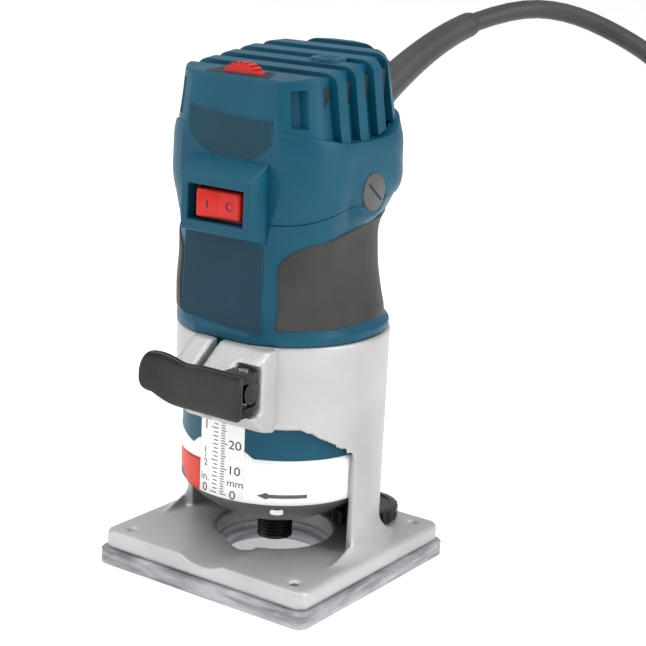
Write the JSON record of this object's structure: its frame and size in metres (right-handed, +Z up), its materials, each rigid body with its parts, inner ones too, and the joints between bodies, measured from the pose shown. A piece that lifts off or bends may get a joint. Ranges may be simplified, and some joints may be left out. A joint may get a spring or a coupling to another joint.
{
  "type": "trim router",
  "caption": "Palm trim router: motor with switch and speed dial in a cast fixed base with clear sub-base, cam clamp lever, fine depth adjuster and mains lead.",
  "frame": {"origin": "on the spindle's axis, in the flat underside of the clear sub-base", "axes": "+Z up along the spindle towards the top cover; -Y is the front with scale, clamp lever and switch; +X is the operator's right seen from the front"},
  "size_m": [0.2471, 0.2248, 0.2177],
  "materials": {
    "clear_plastic": "clear, polished",
    "screw_steel": "bright zinc",
    "cast_aluminium": "satin shot-blasted casting",
    "dark_steel": "blackened",
    "black_plastic": "semi-gloss",
    "blue_plastic": "fine-grained satin",
    "grip_rubber": "matt",
    "label_film": "smooth printed film",
    "grey_plastic": "satin",
    "core_steel": "laminated",
    "copper_winding": "enamelled wire",
    "commutator_copper": "turned",
    "bearing_steel": "ground",
    "brass_holder": "stamped",
    "carbon": "matt graphite",
    "red_plastic": "satin",
    "board_green": "lacquered",
    "cord_rubber": "matt"
  },
  "bodies": {
    "base": {"sub_base": "clear_plastic", "sub_base_screws": "screw_steel", "base_casting": "cast_aluminium", "clamp_bolt": "dark_steel", "clamp_nut": "screw_steel", "lever_pin": "screw_steel"},
    "motor": {"motor_housing": "blue_plastic", "right_grip": "grip_rubber", "left_grip": "grip_rubber", "scale_label": "label_film", "bottom_cover": "grey_plastic", "bottom_cover_screws": "screw_steel", "lower_bearing": "bearing_steel", "upper_bearing": "bearing_steel", "stator_core": "core_steel", "field_windings": "copper_winding", "top_cover": "blue_plastic", "top_screw": "screw_steel", "bearing_bridge": "black_plastic", "brush_holders": "brass_holder", "carbon_brushes": "carbon", "brush_springs": "screw_steel", "brush_caps": "grey_plastic", "switch_body": "black_plastic", "speed_potentiometer": "black_plastic", "speed_control_board": "board_green", "cord_clamp": "black_plastic", "cord_boot": "cord_rubber", "cord_tube": "cord_rubber", "cord_tail": "cord_rubber", "cord_coil": "cord_rubber", "plug_body": "cord_rubber", "plug_blades": "brass_holder"},
    "spindle": {"spindle": "dark_steel", "armature_core": "core_steel", "armature_windings": "copper_winding", "commutator": "commutator_copper", "fan": "grey_plastic"},
    "lever": {"clamp_lever": "black_plastic"},
    "thumbwheel": {"thumbwheel": "black_plastic", "adjuster_screw": "screw_steel"},
    "carriage": {"adjuster_carriage": "dark_steel"},
    "rocker": {"switch_rocker": "red_plastic"},
    "dial": {"speed_dial": "red_plastic"}
  },
  "joints": [
    {"name": "motor_depth", "type": "slide", "parent": "base", "child": "motor", "axis": [0, 0, 1], "range_m": [0, 0.0254]},
    {"name": "spindle_spin", "type": "hinge", "parent": "motor", "child": "spindle", "pos_m": [0, 0, 0.1], "axis": [0, 0, -1], "continuous": true},
    {"name": "clamp_lever_swing", "type": "hinge", "parent": "base", "child": "lever", "pos_m": [0.0195, -0.0503, 0.085], "axis": [0, 0, 1], "range_deg": [0, 90]},
    {"name": "thumbwheel_spin", "type": "hinge", "parent": "base", "child": "thumbwheel", "pos_m": [0.0197, 0.0316, 0.017], "axis": [0, 0, 1], "range_deg": [0, 4572]},
    {"name": "carriage_slide", "type": "slide", "parent": "base", "child": "carriage", "axis": [0, 0, 1], "range_m": [0, 0.0254]},
    {"name": "rocker_switch", "type": "hinge", "parent": "motor", "child": "rocker", "pos_m": [0, -0.0386, 0.1488], "axis": [0, 0, 1], "range_deg": [-12, 0]},
    {"name": "speed_dial_turn", "type": "hinge", "parent": "motor", "child": "dial", "pos_m": [0, -0.031, 0.188], "axis": [0, -1, 0], "range_deg": [0, 270]}
  ],
  "couplings": [
    {"joint": "carriage_slide", "follows": "motor_depth", "ratio": 1},
    {"joint": "thumbwheel_spin", "follows": "motor_depth", "rad_per_m": 3141.6}
  ]
}
